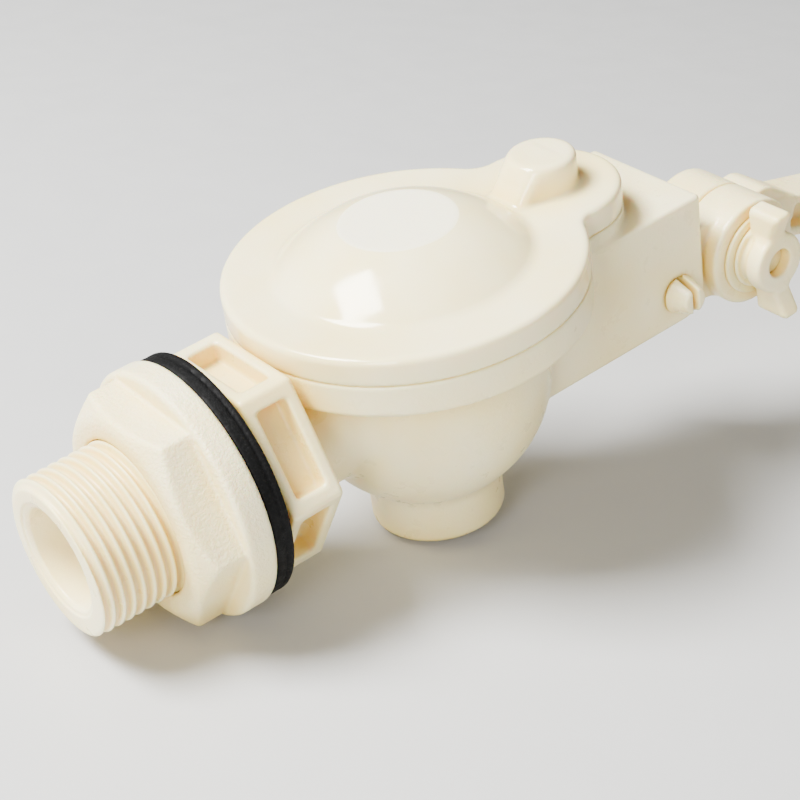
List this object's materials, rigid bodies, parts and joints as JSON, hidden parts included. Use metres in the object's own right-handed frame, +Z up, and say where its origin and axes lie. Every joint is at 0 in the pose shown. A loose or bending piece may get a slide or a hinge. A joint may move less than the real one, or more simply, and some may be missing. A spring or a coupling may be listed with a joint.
{
  "type": "float valve",
  "caption": "Tank float valve with a threaded inlet, lock nut and gasket, domed diaphragm body, and a pivoting lever with an adjustable float arm.",
  "frame": {"origin": "centre of the outlet mouth, on its end face", "axes": "+Z up through the outlet and the cap, -X out of the threaded inlet, +X along the float arm"},
  "size_m": [0.3415, 0.087, 0.112],
  "materials": {
    "tail": "satin moulded",
    "nut": "fine grained",
    "gasket_rubber": "matt, slightly grainy",
    "bowl": "satin moulded",
    "housing": "satin moulded",
    "cap_gloss": "glossy moulded",
    "nozzle": "satin moulded",
    "diaphragm_rubber": "matt",
    "inner_plastic": "satin moulded",
    "spring_wire": "drawn wire",
    "pin": "satin moulded",
    "lever_plastic": "satin moulded",
    "pad_rubber": "matt",
    "bolt_plastic": "satin moulded",
    "washer_plastic": "satin moulded",
    "wing_plastic": "satin moulded",
    "arm_plastic": "satin moulded",
    "float_plastic": "satin moulded",
    "screw_metal": "drawn wire"
  },
  "bodies": {
    "valve": {"inlet_tail": "tail", "valve_bowl": "bowl", "lever_housing": "housing", "cap": "cap_gloss", "pilot_nozzle": "nozzle", "diaphragm": "diaphragm_rubber", "return_spring": "spring_wire", "pivot_pin": "pin"},
    "gasket": {"tank_gasket": "gasket_rubber"},
    "nut": {"lock_nut": "nut"},
    "main_valve": {"diaphragm_plate": "inner_plastic", "valve_guide": "inner_plastic"},
    "lever": {"lever": "lever_plastic", "pilot_pad": "pad_rubber"},
    "arm": {"float_arm": "arm_plastic", "knuckle_bolt": "bolt_plastic", "float_upper": "float_plastic", "float_lower": "float_plastic", "float_screw": "screw_metal", "float_nut": "screw_metal"},
    "washer": {"knuckle_washer": "washer_plastic"},
    "wing": {"wing_nut": "wing_plastic"}
  },
  "joints": [
    {"name": "gasket_slide", "type": "slide", "parent": "valve", "child": "gasket", "axis": [-1, 0, 0], "range_m": [0, 0.0112]},
    {"name": "lock_nut_turn", "type": "hinge", "parent": "gasket", "child": "nut", "pos_m": [-0.05, 0, 0.0293], "axis": [-1, 0, 0], "range_deg": [0, 2160]},
    {"name": "main_valve_lift", "type": "slide", "parent": "valve", "child": "main_valve", "axis": [0, 0, 1], "range_m": [0, 0.003], "stiffness_N_per_m": 300, "springref_m": -0.004, "deforming": ["return_spring", "diaphragm"]},
    {"name": "lever_pivot", "type": "hinge", "parent": "valve", "child": "lever", "pos_m": [0.0468, 0, 0.02475], "axis": [0, -1, 0], "range_deg": [0, 18]},
    {"name": "arm_adjust", "type": "hinge", "parent": "lever", "child": "arm", "pos_m": [0.0645, 0, 0.0251], "axis": [0, -1, 0], "range_deg": [-30, 60]},
    {"name": "washer_slide", "type": "slide", "parent": "arm", "child": "washer", "axis": [0, -1, 0], "range_m": [0, 0.0016]},
    {"name": "wing_nut_turn", "type": "hinge", "parent": "washer", "child": "wing", "pos_m": [0.0645, -0.017, 0.0251], "axis": [0, -1, 0], "range_deg": [0, 720]}
  ],
  "couplings": [
    {"joint": "gasket_slide", "follows": "lock_nut_turn", "m_per_rad": 0.00028871},
    {"joint": "wing_nut_turn", "follows": "washer_slide", "rad_per_m": 7854}
  ]
}
